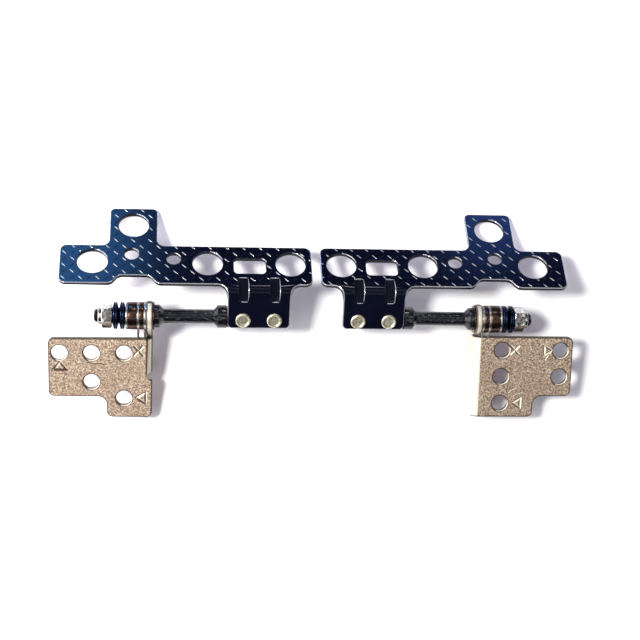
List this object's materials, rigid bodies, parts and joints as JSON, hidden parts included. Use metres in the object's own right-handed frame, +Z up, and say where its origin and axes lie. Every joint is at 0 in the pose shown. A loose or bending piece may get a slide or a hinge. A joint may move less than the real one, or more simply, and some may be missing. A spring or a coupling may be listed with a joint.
{
  "type": "laptop hinge pair",
  "caption": "Left and right laptop friction hinges: a perforated bent lid bracket riveted to a shaft that turns in the ear of a base bracket, through keyed discs, dish springs and a nut.",
  "frame": {"origin": "on the table, at the middle of the pair's footprint", "axes": "+X along both shafts towards the right hinge, +Y towards the lid brackets, +Z up"},
  "size_m": [0.0982, 0.0392, 0.0121],
  "materials": {
    "navy_coat": "dark navy coating on pressed steel",
    "bronze_plate": "bronze-toned plated steel with a fine grain",
    "bright_steel": "bright spring steel",
    "black_steel": "black oxide steel",
    "rivet_brass": "bright yellow metal",
    "copper_disc": "oiled copper-brown friction steel",
    "blued_spring": "blued spring steel",
    "nickel_nut": "nickel plate"
  },
  "bodies": {
    "base": {"left_base_bracket": "bronze_plate", "left_inner_tail_plate": "bright_steel", "left_outer_tail_plate": "bright_steel", "right_base_bracket": "bronze_plate", "right_inner_tail_plate": "bright_steel", "right_outer_tail_plate": "bright_steel"},
    "left_lid": {"left_lid_bracket": "navy_coat", "left_shaft": "black_steel", "left_rivets": "rivet_brass", "left_bearing_washer": "copper_disc", "left_inner_friction_disc": "copper_disc", "left_outer_friction_disc": "copper_disc", "left_spring_seat": "bright_steel", "left_dish_spring_1": "blued_spring", "left_dish_spring_2": "blued_spring", "left_dish_spring_3": "blued_spring", "left_dish_spring_4": "blued_spring", "left_lock_nut": "nickel_nut"},
    "right_lid": {"right_lid_bracket": "navy_coat", "right_shaft": "black_steel", "right_rivets": "rivet_brass", "right_bearing_washer": "copper_disc", "right_inner_friction_disc": "copper_disc", "right_outer_friction_disc": "copper_disc", "right_spring_seat": "bright_steel", "right_dish_spring_1": "blued_spring", "right_dish_spring_2": "blued_spring", "right_dish_spring_3": "blued_spring", "right_dish_spring_4": "blued_spring", "right_lock_nut": "nickel_nut"}
  },
  "joints": [
    {"name": "left_hinge", "type": "hinge", "parent": "base", "child": "left_lid", "pos_m": [-0.0306, -0.00055, 0.00848], "axis": [1, 0, 0], "range_deg": [-124.27, 25.73]},
    {"name": "right_hinge", "type": "hinge", "parent": "base", "child": "right_lid", "pos_m": [0.0306, -0.00055, 0.00848], "axis": [1, 0, 0], "range_deg": [-131.49, 18.51]}
  ]
}
